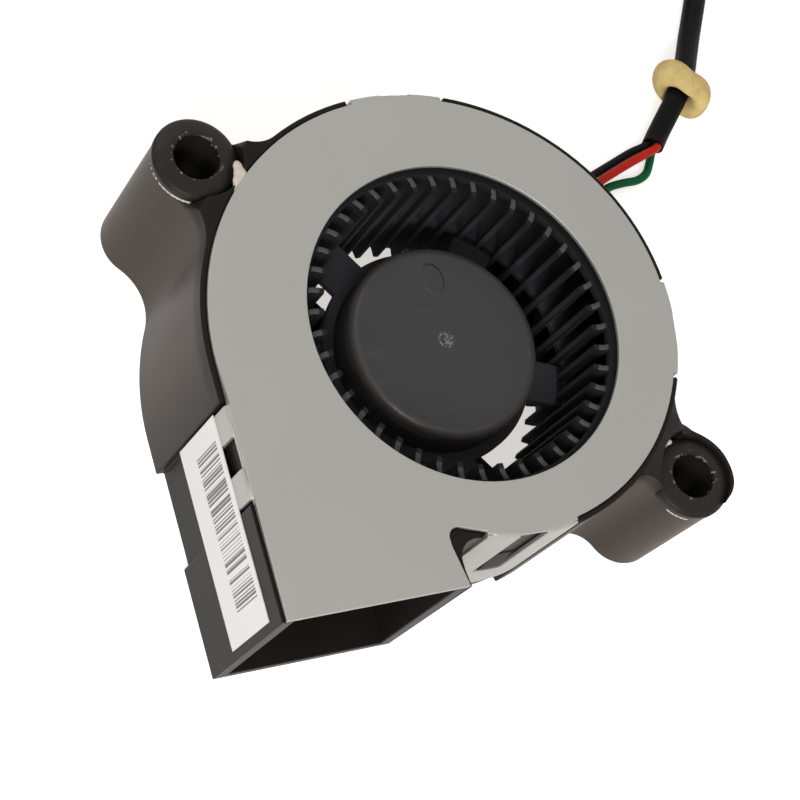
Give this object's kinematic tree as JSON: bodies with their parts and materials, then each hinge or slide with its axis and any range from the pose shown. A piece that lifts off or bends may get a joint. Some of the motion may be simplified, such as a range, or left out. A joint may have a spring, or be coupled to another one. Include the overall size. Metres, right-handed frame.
{
  "type": "dc blower fan",
  "caption": "Flat centrifugal blower with a steel intake cover, a rectangular side outlet, two rubber-bushed mounting ears and a sleeved three-wire lead.",
  "frame": {"origin": "on the rotor's axis at the flat back face of the housing", "axes": "+Z along the rotor's axis towards the intake, the outlet faces -Y, and its duct lies on the -X side"},
  "size_m": [0.0904, 0.1045, 0.02],
  "materials": {
    "housing_plastic": "satin moulded black plastic",
    "cover_steel": "dull zinc-coated sheet steel",
    "bush_rubber": "satin black rubber",
    "label_paper": "white label with plain printed bars",
    "tube_brass": "turned brass",
    "bearing_steel": "ground bearing steel",
    "core_steel": "stacked electrical steel sheets",
    "cap_plastic": "cream moulded insulator",
    "winding_copper": "enamelled copper wire",
    "pin_tin": "tinned pins and solder",
    "board_laminate": "green coated glass-fibre laminate",
    "chip_plastic": "black moulded chip",
    "part_ceramic": "ceramic chip parts",
    "impeller_plastic": "matt black moulded plastic",
    "yoke_steel": "deep-drawn steel",
    "magnet_ferrite": "plastic-bonded ferrite",
    "shaft_steel": "ground shaft steel",
    "spring_steel": "spring wire",
    "wire_red": "red wire jacket",
    "wire_black": "black wire jacket",
    "wire_green": "green wire jacket",
    "sleeve_black": "black tubing",
    "foam_cream": "yellowed foam rubber",
    "plug_nylon": "natural nylon",
    "contact_tin": "stamped contact metal"
  },
  "bodies": {
    "casing": {"housing": "housing_plastic", "cover_plate": "cover_steel", "bush_left": "bush_rubber", "bush_right": "bush_rubber", "barcode_label": "label_paper", "bearing_tube": "tube_brass", "lower_bearing_outer": "bearing_steel", "lower_bearing_balls": "bearing_steel", "upper_bearing_outer": "bearing_steel", "upper_bearing_balls": "bearing_steel", "stator_core": "core_steel", "insulator_lower": "cap_plastic", "insulator_upper": "cap_plastic", "winding_1": "winding_copper", "winding_2": "winding_copper", "winding_3": "winding_copper", "winding_4": "winding_copper", "winding_pins": "pin_tin", "circuit_board": "board_laminate", "driver_chip": "chip_plastic", "board_parts": "part_ceramic", "solder_joints": "pin_tin", "wire_red": "wire_red", "wire_black": "wire_black", "wire_green": "wire_green", "sleeve": "sleeve_black", "foam_ring": "foam_cream", "cord_coil": "sleeve_black", "sleeve_tail": "sleeve_black", "tail_red": "wire_red", "tail_black": "wire_black", "tail_green": "wire_green", "connector_housing": "plug_nylon", "connector_contacts": "contact_tin"},
    "rotor": {"impeller": "impeller_plastic", "rotor_yoke": "yoke_steel", "magnet_ring": "magnet_ferrite", "shaft": "shaft_steel", "preload_spring": "spring_steel", "retaining_ring": "spring_steel", "lower_bearing_inner": "bearing_steel", "upper_bearing_inner": "bearing_steel"}
  },
  "joints": [
    {"name": "impeller_spin", "type": "hinge", "parent": "casing", "child": "rotor", "pos_m": [0, 0, 0], "axis": [0, 0, 1], "continuous": true}
  ]
}
